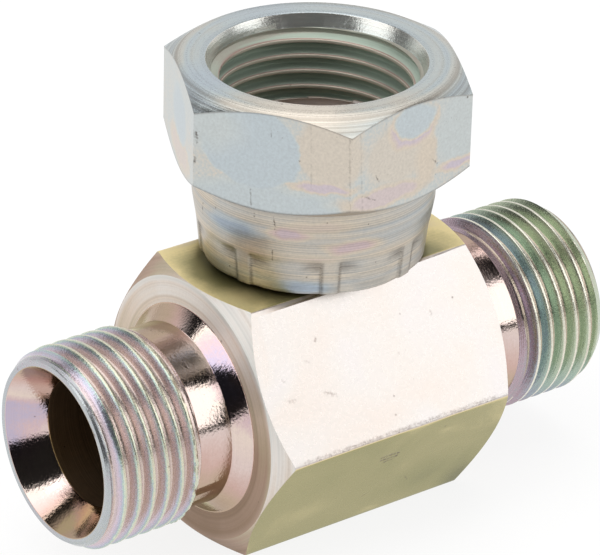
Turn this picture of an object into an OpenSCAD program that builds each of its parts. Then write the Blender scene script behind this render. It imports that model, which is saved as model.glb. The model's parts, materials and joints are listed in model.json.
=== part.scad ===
// Tee adapter for hydraulic lines: a hex bar body with a male end to each side, and a swivel nut on the branch.
// The run lies along X. The branch stands up along Z. The origin is under the crossing, on the bottom flat.
// The threads are left as plain cylinders at their own diameters.

/* [Hex body] */
// Width across the flats of the body bar
body_af = 22; // [21:0.5:26]
// Length of the bar between its two turned end faces
bar_len = 23.5; // [21.5:0.1:27]
// Overall length over both male ends
run_len = 49.5; // [47:0.5:56]
// How far the turned end face reaches past the flats, on the radius
body_face_over = 0.1; // [0:0.05:0.5]
// Slope of the turned corners, measured from the end face
body_corner_angle = 36; // [25:1:45]
// Bore through the run
run_bore_d = 10.5; // [8:0.25:11.25]

/* [Male ends] */
// Major diameter of the male thread
male_d = 16.5; // [16.42:0.02:16.66]
// Length from the end face to the back of the thread
male_len = 8.8; // [8:0.1:10]
// Length of the sloped start at the back of the thread
male_back_len = 0.8; // [0.4:0.1:1.2]
// Diameter of the flat ring at the end face
male_lead_d = 14.9; // [14.4:0.1:15.2]
// Length of the chamfer that leads onto the thread
male_lead_len = 1.15; // [0.6:0.05:1.6]
// Diameter of the relief neck behind the thread
relief_d = 15; // [14.2:0.1:15.1]
// Diameter where the relief flares out onto the hex end face
flare_d = 17.3; // [16:0.1:18.5]
// Length of that flare
flare_len = 1.2; // [0.6:0.1:1.6]
// Mouth of the coned seat inside each male end
seat_mouth_d = 13.9; // [13.4:0.1:14.2]
// Full angle of the seats and of the branch nose
seat_angle = 60; // [60:1:74]

/* [Branch stub] */
// Bore through the branch
branch_bore_d = 9.25; // [7:0.25:9.75]
// Diameter of the spigot that is brazed into the body
spigot_d = 13; // [12:0.1:13.8]
// Edge break at the foot of the spigot
spigot_chamfer = 0.3; // [0.2:0.1:0.6]
// Diameter of the neck inside the crimped lip
neck_d = 14.3; // [14:0.1:14.6]
// Diameter of the shoulder that the lip is closed under
shoulder_d = 16; // [15.8:0.05:16.3]
// Height of the shoulder's top face above the body flat
shoulder_rise = 5.3; // [5:0.1:6]
// Length of the shoulder's straight edge
shoulder_t = 1.6; // [0.8:0.1:2]
// Slope of the shoulder's underside, measured from the axis
thrust_angle = 45; // [40:1:55]
// Diameter of the nose below its cone
nose_d = 13.8; // [13:0.1:14.2]
// Diameter of the nose at its tip
nose_tip_d = 10.75; // [10.4:0.05:11.4]
// Height of the tip above the body flat
nose_rise = 9.35; // [9:0.05:9.5]
// Edge break at the root of the shoulder and of the nose
nose_break = 0.25; // [0.1:0.05:0.4]

/* [Braze] */
// Radial gap that the braze fills between spigot and socket
braze_gap = 0.05; // [0.02:0.01:0.1]
// Leg of the braze fillet round the foot of the neck
braze_leg = 0.3; // [0.15:0.05:0.35]
// Metal left between the run bore and the floor of the socket
socket_floor = 1.25; // [0.9:0.05:1.7]
// Gap under the foot of the spigot
spigot_end_gap = 0.1; // [0.05:0.05:0.3]

/* [Swivel nut] */
// Width across the flats of the nut
nut_af = 22; // [21:0.5:24.5]
// Height of the whole nut
nut_len = 16.25; // [15.5:0.05:18]
// Height of the nut's hex part
nut_hex_len = 8.5; // [7.4:0.1:9]
// Gap between the crimped lip and the body flat
nut_lift = 0.4; // [0.35:0.05:0.7]
// Turn of the nut at rest, from a corner on the run's axis
nut_turn = 5.5; // [0:0.5:60]
// Diameter of the flat top face
nut_face_d = 21.5; // [19.6:0.1:21.6]
// Slope of the top corners, measured from the top face
nut_corner_angle = 29; // [15:1:40]
// Diameter of the flat underside of the hex
nut_under_d = 21.7; // [20.4:0.1:21.7]
// Slope of the lower corners, measured from the underside
nut_under_angle = 34; // [15:1:40]
// Minor diameter of the nut's thread
nut_thread_d = 15.3; // [14.96:0.02:15.38]
// Length of the nut's thread
nut_thread_len = 5.4; // [4:0.1:5.6]
// Diameter of the plain mouth above the thread
nut_mouth_d = 17.5; // [17:0.1:18.7]
// Depth of the plain mouth
nut_mouth_len = 1.15; // [0.6:0.05:1.6]
// Depth of the cone from the mouth to the thread
nut_lead_len = 0.4; // [0.2:0.1:0.6]
// Diameter of the relief groove below the thread
groove_d = 17.2; // [17:0.1:17.6]
// Height of the slope at each end of the groove
groove_slope = 0.5; // [0.3:0.1:0.7]
// Height of the land that sits over the shoulder
land_len = 0.65; // [0.4:0.05:0.8]

/* [Crimped collar] */
// Diameter of the collar above the crimp
collar_d = 19.4; // [18.9:0.1:20.4]
// Diameter of the collar at the top of the jaw marks
crimp_d = 18.7; // [18.3:0.1:18.9]
// Diameter of the collar at its lower edge
lip_d = 18.1; // [17.6:0.1:18.3]
// Height of the crimped taper above the lower edge
crimp_len = 4.95; // [4:0.05:5.7]
// Height of the jaw marks above the lower edge
jaw_len = 2.85; // [2:0.05:3.7]
// How deep the jaws press in
jaw_depth = 0.12; // [0.05:0.01:0.25]
// Number of crimping jaws
jaw_count = 8; // [6:1:12]
// Angle of the ridge left between two jaws
ridge_angle = 9; // [4:1:14]
// Angle of the first ridge
ridge_start = 17; // [0:1:45]
// Edge break at the collar's lower edge
lip_break = 0.15; // [0.1:0.05:0.3]

/* [Running fits] */
// Radial clearance of the shoulder in the nut
shoulder_gap = 0.08; // [0.04:0.01:0.1]
// Clearance between the shoulder's top face and the land
seat_gap = 0.05; // [0.03:0.01:0.1]
// Radial clearance of the crimped lip round the neck
lip_gap = 0.25; // [0.2:0.05:0.4]
// How far the nut may rise before the lip meets the shoulder
nut_play = 0.35; // [0.2:0.05:0.45]

/* [Hidden] */
$fn = 128;
cut = 1;              // how far a cutter runs past the face that it opens
hex_sides = 6;

run_z = body_af / 2;
flat_z = body_af;
half_run = run_len / 2;
half_bar = bar_len / 2;
seat_slope = tan(seat_angle / 2);
thrust_slope = tan(thrust_angle);

// The socket stops short of the run bore, and the spigot stops short of its floor
socket_d = spigot_d + 2 * braze_gap;
socket_depth = body_af / 2 - run_bore_d / 2 - socket_floor;
spigot_len = socket_depth - spigot_end_gap;

// Heights on the branch, from the body flat
thrust_top = shoulder_rise - shoulder_t;
thrust_foot = thrust_top - (shoulder_d - neck_d) / 2 / thrust_slope;
nose_cone_foot = nose_rise - (nose_d - nose_tip_d) / 2 / seat_slope;

// Bores and heights in the nut, from its lower edge
collar_bore_d = shoulder_d + 2 * shoulder_gap;
lip_bore_d = neck_d + 2 * lip_gap;
lip_cone_foot = thrust_foot + (lip_bore_d - neck_d) / 2 / thrust_slope - nut_play - nut_lift;
lip_cone_top = lip_cone_foot + (collar_bore_d - lip_bore_d) / 2 / thrust_slope;
land_foot = shoulder_rise + seat_gap - nut_lift;
land_top = land_foot + land_len;
nut_thread_top = nut_len - nut_mouth_len - nut_lead_len;
nut_thread_foot = nut_thread_top - nut_thread_len;
collar_len = nut_len - nut_hex_len;

// A hex prism on Z with a corner on X, its ends turned to cones that start on the given circles
module turned_hex(af, len, top_d, top_angle, foot_d, foot_angle) {
    corner_r = af / 2 / cos(180 / hex_sides);
    top_drop = (corner_r - top_d / 2) * tan(top_angle);
    foot_rise = (corner_r - foot_d / 2) * tan(foot_angle);
    intersection() {
        cylinder(r = corner_r, h = len, $fn = hex_sides);
        rotate_extrude()
            polygon([
                [0, 0], [foot_d / 2, 0],
                [corner_r, foot_rise], [corner_r + cut, foot_rise],
                [corner_r + cut, len - top_drop], [corner_r, len - top_drop],
                [top_d / 2, len], [0, len]
            ]);
    }
}

// One male end, from the middle of the body out along Z
module male_end() {
    thread_foot = half_run - male_len;
    rotate_extrude()
        polygon([
            [0, 0], [flare_d / 2, 0],
            [flare_d / 2, half_bar], [relief_d / 2, half_bar + flare_len],
            [relief_d / 2, thread_foot], [male_d / 2, thread_foot + male_back_len],
            [male_d / 2, half_run - male_lead_len], [male_lead_d / 2, half_run],
            [0, half_run]
        ]);
}

// The run bore with its two coned seats, on Z
module run_cutter() {
    seat_len = (seat_mouth_d - run_bore_d) / 2 / seat_slope;
    cylinder(d = run_bore_d, h = run_len + 2 * cut, center = true);
    for (side = [0, 1])
        mirror([0, 0, side])
            translate([0, 0, half_run - seat_len])
                cylinder(
                    d1 = run_bore_d, d2 = seat_mouth_d + 2 * cut * seat_slope,
                    h = seat_len + cut
                );
}

// The bar is turned from one piece: hex middle, two necks, two threaded ends
module hex_body() {
    face_d = body_af + 2 * body_face_over;
    color([0.83, 0.80, 0.68])
        difference() {
            translate([0, 0, run_z]) rotate([0, 90, 0]) {
                translate([0, 0, -half_bar])
                    rotate([0, 0, 180 / hex_sides])
                        turned_hex(
                            body_af, bar_len,
                            face_d, body_corner_angle, face_d, body_corner_angle
                        );
                for (side = [0, 1]) mirror([0, 0, side]) male_end();
            }
            translate([0, 0, run_z]) rotate([0, 90, 0]) run_cutter();
            translate([0, 0, run_z]) cylinder(d = branch_bore_d, h = body_af);
            translate([0, 0, flat_z - socket_depth]) cylinder(d = socket_d, h = socket_depth + cut);
        }
}

// The turned tail that carries the nut: spigot, neck, thrust shoulder and coned nose
module branch_stub() {
    color([0.80, 0.79, 0.74])
        translate([0, 0, flat_z])
            rotate_extrude()
                polygon([
                    [branch_bore_d / 2, -spigot_len],
                    [spigot_d / 2 - spigot_chamfer, -spigot_len],
                    [spigot_d / 2, spigot_chamfer - spigot_len],
                    [spigot_d / 2, 0], [neck_d / 2, 0],
                    [neck_d / 2, thrust_foot], [shoulder_d / 2, thrust_top],
                    [shoulder_d / 2, shoulder_rise - nose_break],
                    [shoulder_d / 2 - nose_break, shoulder_rise],
                    [nose_d / 2 + nose_break, shoulder_rise],
                    [nose_d / 2, shoulder_rise + nose_break],
                    [nose_d / 2, nose_cone_foot], [nose_tip_d / 2, nose_rise],
                    [branch_bore_d / 2, nose_rise]
                ]);
}

// The fillet of filler metal that runs round the foot of the neck
module braze_ring() {
    color([0.78, 0.55, 0.36])
        translate([0, 0, flat_z])
            rotate_extrude()
                polygon([
                    [neck_d / 2, 0], [neck_d / 2 + braze_leg, 0], [neck_d / 2, braze_leg]
                ]);
}

// Outside of the collar, drawn in by the crimp towards its lower edge
module collar_shell() {
    rotate_extrude()
        polygon([
            [0, 0], [lip_d / 2 - lip_break, 0], [lip_d / 2, lip_break],
            [crimp_d / 2, jaw_len], [collar_d / 2, crimp_len],
            [collar_d / 2, collar_len + cut], [0, collar_len + cut]
        ]);
}

// The print of one crimping jaw, between two ridges
module jaw_print() {
    rotate_extrude(angle = 360 / jaw_count - ridge_angle)
        polygon([
            [lip_d / 2 - jaw_depth, -cut], [lip_d / 2 - jaw_depth, 0],
            [crimp_d / 2 - jaw_depth, jaw_len], [collar_d / 2 + cut, jaw_len + cut],
            [collar_d / 2 + cut, -cut]
        ]);
}

// Everything that is bored out of the nut, from the lip up to the mouth
module nut_cutter() {
    groove_r = groove_d / 2;
    thread_r = nut_thread_d / 2;
    rotate_extrude()
        polygon([
            [0, -cut], [lip_bore_d / 2, -cut],
            [lip_bore_d / 2, lip_cone_foot], [collar_bore_d / 2, lip_cone_top],
            [collar_bore_d / 2, land_foot], [thread_r, land_foot],
            [thread_r, land_top], [groove_r, land_top + groove_slope],
            [groove_r, nut_thread_foot - groove_slope], [thread_r, nut_thread_foot],
            [thread_r, nut_thread_top], [nut_mouth_d / 2, nut_thread_top + nut_lead_len],
            [nut_mouth_d / 2, nut_len + cut], [0, nut_len + cut]
        ]);
}

// The nut turns freely on the stub, its lip closed under the shoulder
module swivel_nut() {
    jaw_step = 360 / jaw_count;
    color([0.74, 0.76, 0.76])
        translate([0, 0, flat_z + nut_lift])
            difference() {
                union() {
                    translate([0, 0, collar_len])
                        rotate([0, 0, nut_turn])
                            turned_hex(
                                nut_af, nut_hex_len,
                                nut_face_d, nut_corner_angle, nut_under_d, nut_under_angle
                            );
                    collar_shell();
                }
                for (i = [0 : jaw_count - 1])
                    rotate([0, 0, ridge_start + ridge_angle / 2 + i * jaw_step]) jaw_print();
                nut_cutter();
            }
}

hex_body();
branch_stub();
braze_ring();
swivel_nut();
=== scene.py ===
import json
import math

import bmesh
import bpy
import numpy as np
from mathutils import Matrix, Vector, noise


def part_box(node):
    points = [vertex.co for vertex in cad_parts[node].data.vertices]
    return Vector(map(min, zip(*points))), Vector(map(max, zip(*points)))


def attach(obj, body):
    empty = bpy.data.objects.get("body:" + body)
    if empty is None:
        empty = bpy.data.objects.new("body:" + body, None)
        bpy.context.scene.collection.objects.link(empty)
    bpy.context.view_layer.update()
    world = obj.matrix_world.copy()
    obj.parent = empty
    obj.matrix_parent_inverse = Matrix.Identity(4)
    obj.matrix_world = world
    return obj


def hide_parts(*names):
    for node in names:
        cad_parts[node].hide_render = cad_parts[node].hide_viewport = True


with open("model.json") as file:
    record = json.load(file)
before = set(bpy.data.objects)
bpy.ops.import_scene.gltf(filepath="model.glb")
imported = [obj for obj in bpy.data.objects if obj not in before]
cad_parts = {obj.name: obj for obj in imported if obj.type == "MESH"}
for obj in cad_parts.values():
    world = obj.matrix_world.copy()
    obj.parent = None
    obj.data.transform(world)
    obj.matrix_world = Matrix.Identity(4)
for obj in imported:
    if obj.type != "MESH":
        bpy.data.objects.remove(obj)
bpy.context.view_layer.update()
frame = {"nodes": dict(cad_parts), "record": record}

# A tee adapter. Shapes are drawn in millimetres round the Z axis, then turned into place and made metres.
mm = 0.001
fullTurn = 2 * math.pi
touching = 0.002               # mm, nearer than this counts as the same place
seamGap = 0.003                # mm, closed where pieces of a mesh meet


# Sizes that the solids already hold
def nodeBox(name):
    low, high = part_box(name)
    return low / mm, high / mm


mounts = {mount["name"]: mount for mount in frame["record"]["mounts"]}
bodyLow, bodyHigh = nodeBox("hex_body")
nutLow, nutHigh = nodeBox("swivel_nut")
runHeight = (bodyLow.z + bodyHigh.z) / 2                             # the run's axis above the bottom flat
barFlats = bodyHigh.z - bodyLow.z                                    # across the flats of the bar
halfRun = bodyHigh.x
maleCrest = mounts["right_male_thread"]["dims"]["r_mm"]
nutCrest = mounts["branch_nut_thread"]["dims"]["r_mm"]
nutThreadLength = mounts["branch_nut_thread"]["dims"]["length_mm"]

print("camera")
cameraView = {
    "place": (-0.17943, -0.23487, 0.17248),      # metres, in the part's own frame
    "yaw": 37.207,                               # degrees, from the back towards the right
    "pitch": 27.404,                             # degrees, downwards
    "roll": 1.559,                               # degrees
    "lens": 248.79,                              # mm, on a sensor 36 mm wide
}


def placeCamera(view):
    camera = bpy.data.objects.new("camera", bpy.data.cameras.new("camera"))
    camera.data.sensor_width = 36
    camera.data.lens = view["lens"]
    camera.data.clip_start = 0.01
    aim = Matrix.Rotation(-math.radians(view["yaw"]), 4, "Z")
    aim = aim @ Matrix.Rotation(math.radians(90 - view["pitch"]), 4, "X")
    aim = aim @ Matrix.Rotation(math.radians(view["roll"]), 4, "Z")
    camera.matrix_world = Matrix.Translation(view["place"]) @ aim
    bpy.context.scene.collection.objects.link(camera)
    bpy.context.scene.camera = camera


placeCamera(cameraView)


# Outlines: each is a list of (radius, height) points
def easeCorners(points, ease):
    # every corner between the two ends becomes a short arc
    eased = [Vector(points[0])]
    for before, corner, after in zip(points, points[1:], points[2:]):
        corner = Vector(corner)
        inTo = corner + (Vector(before) - corner).normalized() * ease
        outOf = corner + (Vector(after) - corner).normalized() * ease
        eased += [inTo, (inTo + 2 * corner + outOf) / 4, outOf]
    return eased + [Vector(points[-1])]


def splitLong(points, longest):
    # no stretch of an outline stays longer than this
    split = [Vector(points[0])]
    for start, end in zip(points, points[1:]):
        count = max(1, math.ceil((Vector(end) - Vector(start)).length / longest))
        split += [Vector(start).lerp(Vector(end), i / count) for i in range(1, count + 1)]
    return split


def radiusAt(outline, height):
    # the radius of a limiting outline at a height, held past both of its ends
    if height <= outline[0][1]:
        return outline[0][0]
    for (r0, h0), (r1, h1) in zip(outline, outline[1:]):
        if height <= h1:
            return r0 + (r1 - r0) * (height - h0) / (h1 - h0)
    return outline[-1][0]


def hexRadius(angle, acrossFlats, corner):
    # from the axis to the side of a hexagon that has one corner at the angle corner
    fromFlat = (angle - corner) % (fullTurn / 6) - fullTurn / 12
    return acrossFlats / 2 / math.cos(fromFlat)


# Rings of edges round the axis
def angleOf(vert):
    return math.atan2(vert.co.y, vert.co.x)


def setPolar(vert, angle, radius, height):
    vert.co = (radius * math.cos(angle), radius * math.sin(angle), height)


def ringAt(bm, height):
    # the open edges that lie at one height
    return [
        edge for edge in bm.edges
        if edge.is_boundary and all(abs(vert.co.z - height) < touching for vert in edge.verts)
    ]


def vertsOf(parts):
    return [part for part in parts if isinstance(part, bmesh.types.BMVert)]


def growRing(bm, ring, place):
    # pulls one more ring out of an open one; place gives its radius and height at each angle
    grown = bmesh.ops.extrude_edge_only(bm, edges=ring)["geom"]
    verts = set(vertsOf(grown))
    for vert in verts:
        angle = angleOf(vert)
        setPolar(vert, angle, *place(angle))
    return [
        part for part in grown
        if isinstance(part, bmesh.types.BMEdge) and verts.issuperset(part.verts)
    ]


def growOutline(bm, ring, outline):
    for radius, height in outline:
        ring = growRing(bm, ring, lambda angle: (radius, height))
    return ring


def helixThread(bm, form, limits, ends, steps, inside):
    # sweeps one turn's outline up a right-handed helix, cuts it back to its limits and trims both ends
    pitch = form["pitch"]
    bottom, top = ends
    flank = abs(form["crest"] - form["root"]) * math.tan(math.radians(form["flankAngle"]))
    land = (pitch - 2 * flank - form["crestFlat"]) / 2
    corners = [
        (form["root"], 0), (form["root"], land), (form["crest"], land + flank),
        (form["crest"], pitch - land - flank), (form["root"], pitch - land), (form["root"], pitch),
    ]
    start = bottom + (form["phase"] - 2) * pitch
    turns = math.ceil((top - start) / pitch) + 1
    outline = splitLong(easeCorners(corners, form["ease"]), form["finest"])
    verts = [bm.verts.new((radius, 0, start + height)) for radius, height in outline]
    edges = [bm.edges.new(pair) for pair in zip(verts, verts[1:])]
    bmesh.ops.spin(
        bm, geom=verts + edges, cent=(0, 0, 0), axis=(0, 0, 1), dvec=(0, 0, pitch / steps),
        angle=fullTurn, steps=steps, use_merge=False, use_duplicate=False,
    )
    oneTurn = bm.verts[:] + bm.edges[:] + bm.faces[:]
    for turn in range(1, turns):
        copied = bmesh.ops.duplicate(bm, geom=oneTurn)["geom"]
        bmesh.ops.translate(bm, verts=vertsOf(copied), vec=(0, 0, turn * pitch))
    bmesh.ops.remove_doubles(bm, verts=bm.verts[:], dist=touching)
    for vert in bm.verts:
        radius = vert.co.xy.length
        limit = radiusAt(limits, vert.co.z)
        kept = max(radius, limit) if inside else min(radius, limit)
        setPolar(vert, angleOf(vert), kept, vert.co.z)
    for height, keepBelow in ((top, True), (bottom, False)):
        bmesh.ops.bisect_plane(
            bm, geom=bm.verts[:] + bm.edges[:] + bm.faces[:], dist=0.0001, plane_co=(0, 0, height),
            plane_no=(0, 0, 1), clear_outer=keepBelow, clear_inner=not keepBelow,
        )
    snapEnds(bm, limits, ends, steps)
    return ringAt(bm, bottom), ringAt(bm, top)


def snapEnds(bm, limits, ends, steps):
    # the points of both cut rings slide round onto the regular columns, where plain rings join them
    for height in ends:
        for vert in {vert for edge in ringAt(bm, height) for vert in edge.verts}:
            column = round(angleOf(vert) / fullTurn * steps)
            setPolar(vert, column * fullTurn / steps, radiusAt(limits, height), height)
    bmesh.ops.remove_doubles(bm, verts=bm.verts[:], dist=touching)
    bmesh.ops.dissolve_degenerate(bm, edges=bm.edges[:], dist=0.0005)


def finishMesh(name, bm, turnIntoPlace, sharpAngle, materials):
    # closes the seams, points every face outwards, marks the sharp edges and makes the object
    bmesh.ops.remove_doubles(bm, verts=bm.verts[:], dist=seamGap)
    bmesh.ops.recalc_face_normals(bm, faces=bm.faces[:])
    bmesh.ops.transform(bm, matrix=Matrix.Scale(mm, 4) @ turnIntoPlace, verts=bm.verts[:])
    for face in bm.faces:
        face.smooth = True
    for edge in bm.edges:
        if len(edge.link_faces) == 2:
            edge.smooth = edge.calc_face_angle(0) < math.radians(sharpAngle)
    openEdges = sum(1 for edge in bm.edges if not edge.is_manifold)
    print(f"  {name}: {len(bm.faces)} faces, {openEdges} open edges")
    mesh = bpy.data.meshes.new(name)
    bm.to_mesh(mesh)
    bm.free()
    for material in materials:
        mesh.materials.append(material)
    piece = bpy.data.objects.new(name, mesh)
    bpy.context.scene.collection.objects.link(piece)
    return piece


# Colours are given as they look on a screen, 0 to 255, and turned to light
def shade(red, green, blue):
    def toLight(level):
        level = level / 255
        return level / 12.92 if level <= 0.04045 else ((level + 0.055) / 1.055) ** 2.4
    return toLight(red), toLight(green), toLight(blue), 1


# Nodes: a value that is itself a socket is linked, anything else is set
def addNode(tree, kind, inputs=None, **settings):
    made = tree.nodes.new("ShaderNode" + kind)
    for name, value in settings.items():
        setattr(made, name, value)
    for name, value in (inputs or {}).items():
        if isinstance(value, bpy.types.NodeSocket):
            tree.links.new(value, made.inputs[name])
        else:
            made.inputs[name].default_value = value
    return made


def calc(tree, operation, first, second=0.0, third=0.0, clamp=False):
    made = addNode(tree, "Math", {0: first, 1: second, 2: third}, operation=operation, use_clamp=clamp)
    return made.outputs[0]


def vectorCalc(tree, operation, first, second=None):
    # SCALE takes a plain value second, and LENGTH takes nothing
    inputs = {0: first}
    if second is not None:
        inputs["Scale" if operation == "SCALE" else 1] = second
    made = addNode(tree, "VectorMath", inputs, operation=operation)
    return made.outputs["Value" if operation in ("LENGTH", "DISTANCE", "DOT_PRODUCT") else "Vector"]


def combine(tree, x, y, z=0.0):
    return addNode(tree, "CombineXYZ", {0: x, 1: y, 2: z}).outputs[0]


def mix(tree, share, first, second, colours=False):
    # between two values, or two colours
    firstSocket, secondSocket, outSocket = (6, 7, 2) if colours else (2, 3, 0)
    made = addNode(tree, "Mix", {0: share, firstSocket: first, secondSocket: second},
                   data_type="RGBA" if colours else "FLOAT")
    return made.outputs[outSocket]


def fromTo(tree, value, low, high, newLow=0.0, newHigh=1.0):
    return addNode(tree, "MapRange", {0: value, 1: low, 2: high, 3: newLow, 4: newHigh}).outputs[0]


def noiseAt(tree, place, scale, detail, output="Fac", **shape):
    made = addNode(tree, "TexNoise", {"Vector": place, "Scale": scale, "Detail": detail, **shape})
    return made.outputs[output]


def spread(tree, value):
    # most of what a noise gives lies between these two, so this fills 0 to 1
    return fromTo(tree, value, 0.3, 0.7)


def fadeOut(tree, away, reach):
    # 1 in the middle of a mark, 0 from its reach on
    return calc(tree, "SUBTRACT", 1, calc(tree, "DIVIDE", away, reach), clamp=True)


def ownValue(tree, name):
    # what paintCorners has left on the mesh
    return addNode(tree, "Attribute", attribute_name=name).outputs["Fac"]


def colourRamp(tree, value, stops):
    made = addNode(tree, "ValToRGB", {"Fac": value})
    elements = made.color_ramp.elements
    elements.remove(elements[1])
    elements[0].position = stops[0][0]
    elements[0].color = shade(*stops[0][1])
    for position, colour in stops[1:]:
        elements.new(position).color = shade(*colour)
    return made.outputs["Color"]


def newGroup(name, inputs, outputs):
    tree = bpy.data.node_groups.new(name, "ShaderNodeTree")
    for socketName, kind, value in inputs:
        socket = tree.interface.new_socket(socketName, in_out="INPUT", socket_type="NodeSocket" + kind)
        if value is not None:
            socket.default_value = value
    for socketName in outputs:
        tree.interface.new_socket(socketName, in_out="OUTPUT", socket_type="NodeSocketFloat")
    return tree, tree.nodes.new("NodeGroupInput").outputs, tree.nodes.new("NodeGroupOutput").inputs


def useGroup(tree, group, inputs):
    return addNode(tree, "Group", inputs, node_tree=group).outputs


print("finish groups")


def makeRoundAxis():
    # radius, angle and height of a point round the Z axis
    tree, given, result = newGroup("roundAxis", [("Vector", "Vector", None)], ["Radius", "Angle", "Height"])
    parts = addNode(tree, "SeparateXYZ", {0: given["Vector"]}).outputs
    tree.links.new(vectorCalc(tree, "LENGTH", combine(tree, parts["X"], parts["Y"])), result["Radius"])
    tree.links.new(calc(tree, "ARCTAN2", parts["Y"], parts["X"]), result["Angle"])
    tree.links.new(parts["Z"], result["Height"])
    return tree


def makeLatheMarks():
    # fine rings left by the tool and slower bands of its feed, both round the axis
    tree, given, result = newGroup(
        "latheMarks",
        [("Radius", "Float", 0), ("Height", "Float", 0), ("Angle", "Float", 0), ("Fineness", "Float", 8)],
        ["Rings", "Bands"],
    )
    offRing = 0.03                 # mm that a mark strays from a true ring
    uneven = 0.02                  # mm that a ring changes on its way round
    turned = calc(tree, "SINE", given["Angle"])
    drift = combine(tree, turned, calc(tree, "COSINE", given["Angle"]), given["Height"])
    wander = calc(tree, "MULTIPLY", noiseAt(tree, drift, 1.3, 1), offRing)
    across = calc(tree, "ADD", given["Radius"], wander)
    along = calc(tree, "ADD", given["Height"], wander)
    place = combine(tree, across, along, calc(tree, "MULTIPLY", turned, uneven))
    for name, scale, detail in (("Rings", 1.0, 3), ("Bands", 0.16, 2)):
        streaks = noiseAt(tree, place, calc(tree, "MULTIPLY", given["Fineness"], scale), detail)
        tree.links.new(spread(tree, streaks), result[name])
    return tree


def makeDryingPatches():
    # soft clouds, where the film dried to another thickness
    tree, given, result = newGroup(
        "dryingPatches",
        [("Vector", "Vector", None), ("Size", "Float", 0.15), ("Seed", "Float", 0)],
        ["Clouds"],
    )
    offset = combine(tree, given["Seed"], calc(tree, "MULTIPLY", given["Seed"], 1.7))
    place = vectorCalc(tree, "ADD", given["Vector"], offset)
    clouds = noiseAt(tree, place, given["Size"], 3, Roughness=0.5, Distortion=0.6)
    tree.links.new(spread(tree, clouds), result["Clouds"])
    return tree


def makeHandlingMarks():
    # small dark pits, short fine scratches and an even grain
    tree, given, result = newGroup(
        "handlingMarks",
        [("Vector", "Vector", None), ("Pit spacing", "Float", 1.4), ("Pit share", "Float", 0.35)],
        ["Pits", "Scratches", "Grain"],
    )
    pitSizes = (0.04, 0.12)        # of the spacing, smallest and largest
    scratchWidth = 0.035
    scratchShare = 0.3
    stretch = (0.25, 2.2, 2.2)     # draws a cell out into a long thin one
    cells = addNode(tree, "TexVoronoi", {
        "Vector": given["Vector"], "Scale": calc(tree, "DIVIDE", 1, given["Pit spacing"]), "Randomness": 1,
    }).outputs
    lots = addNode(tree, "SeparateColor", {0: cells["Color"]}).outputs
    chosen = calc(tree, "LESS_THAN", lots["Red"], given["Pit share"])
    dot = fadeOut(tree, cells["Distance"], fromTo(tree, lots["Green"], 0, 1, *pitSizes))
    tree.links.new(calc(tree, "MULTIPLY", dot, chosen, clamp=True), result["Pits"])
    scratches = 0.0
    for turn, seed in ((0.5, 3.1), (1.9, 8.7), (2.7, 15.2)):
        place = addNode(tree, "Mapping", {
            "Vector": given["Vector"], "Location": (seed, seed, seed),
            "Rotation": (turn, turn * 1.3, turn * 0.7), "Scale": stretch,
        }).outputs[0]
        cells = addNode(tree, "TexVoronoi", {"Vector": place, "Scale": 0.5, "Randomness": 1}).outputs
        lot = addNode(tree, "SeparateColor", {0: cells["Color"]}).outputs["Blue"]
        line = fadeOut(tree, cells["Distance"], scratchWidth)
        line = calc(tree, "MULTIPLY", line, calc(tree, "LESS_THAN", lot, scratchShare))
        scratches = calc(tree, "MAXIMUM", scratches, line)
    tree.links.new(scratches, result["Scratches"])
    tree.links.new(spread(tree, noiseAt(tree, given["Vector"], 4.6, 4)), result["Grain"])
    return tree


def makeStainAndShadeArea():
    # one rounded area with a wavy edge, drawn for stains and for painted shade
    tree, given, result = newGroup(
        "stainAndShadeArea",
        [("Vector", "Vector", None), ("Centre", "Vector", None), ("Size", "Vector", None),
         ("Noise", "Vector", None), ("Waves", "Float", 1.0), ("Edge", "Float", 0.1)],
        ["Mask"],
    )
    waves = vectorCalc(tree, "SUBTRACT", given["Noise"], (0.5, 0.5, 0.5))
    waves = vectorCalc(tree, "SCALE", waves, given["Waves"])
    place = vectorCalc(tree, "ADD", given["Vector"], waves)
    place = vectorCalc(tree, "SUBTRACT", place, given["Centre"])
    away = vectorCalc(tree, "LENGTH", vectorCalc(tree, "DIVIDE", place, given["Size"]))
    inside = calc(tree, "DIVIDE", calc(tree, "SUBTRACT", 1, away), given["Edge"])
    tree.links.new(calc(tree, "ADD", inside, 0.5, clamp=True), result["Mask"])
    return tree


def makeStroke():
    # one scratch, dent or row of specks between two points
    tree, given, result = newGroup(
        "stroke",
        [("Vector", "Vector", None), ("Start", "Vector", None), ("End", "Vector", None),
         ("Width", "Float", 0.1), ("Breaks", "Float", 0)],
        ["Mask"],
    )
    fromStart = vectorCalc(tree, "SUBTRACT", given["Vector"], given["Start"])
    whole = vectorCalc(tree, "SUBTRACT", given["End"], given["Start"])
    onto = vectorCalc(tree, "DOT_PRODUCT", fromStart, whole)
    share = calc(tree, "DIVIDE", onto, vectorCalc(tree, "DOT_PRODUCT", whole, whole), clamp=True)
    nearest = vectorCalc(tree, "SCALE", whole, share)
    away = vectorCalc(tree, "DISTANCE", fromStart, nearest)
    dark = calc(tree, "SUBTRACT", 1.2, calc(tree, "DIVIDE", away, given["Width"]))
    tree.links.new(calc(tree, "SUBTRACT", dark, given["Breaks"], clamp=True), result["Mask"])
    return tree


roundAxis = makeRoundAxis()
latheMarks = makeLatheMarks()
dryingPatches = makeDryingPatches()
handlingMarks = makeHandlingMarks()
stainAndShadeArea = makeStainAndShadeArea()
stroke = makeStroke()


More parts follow.
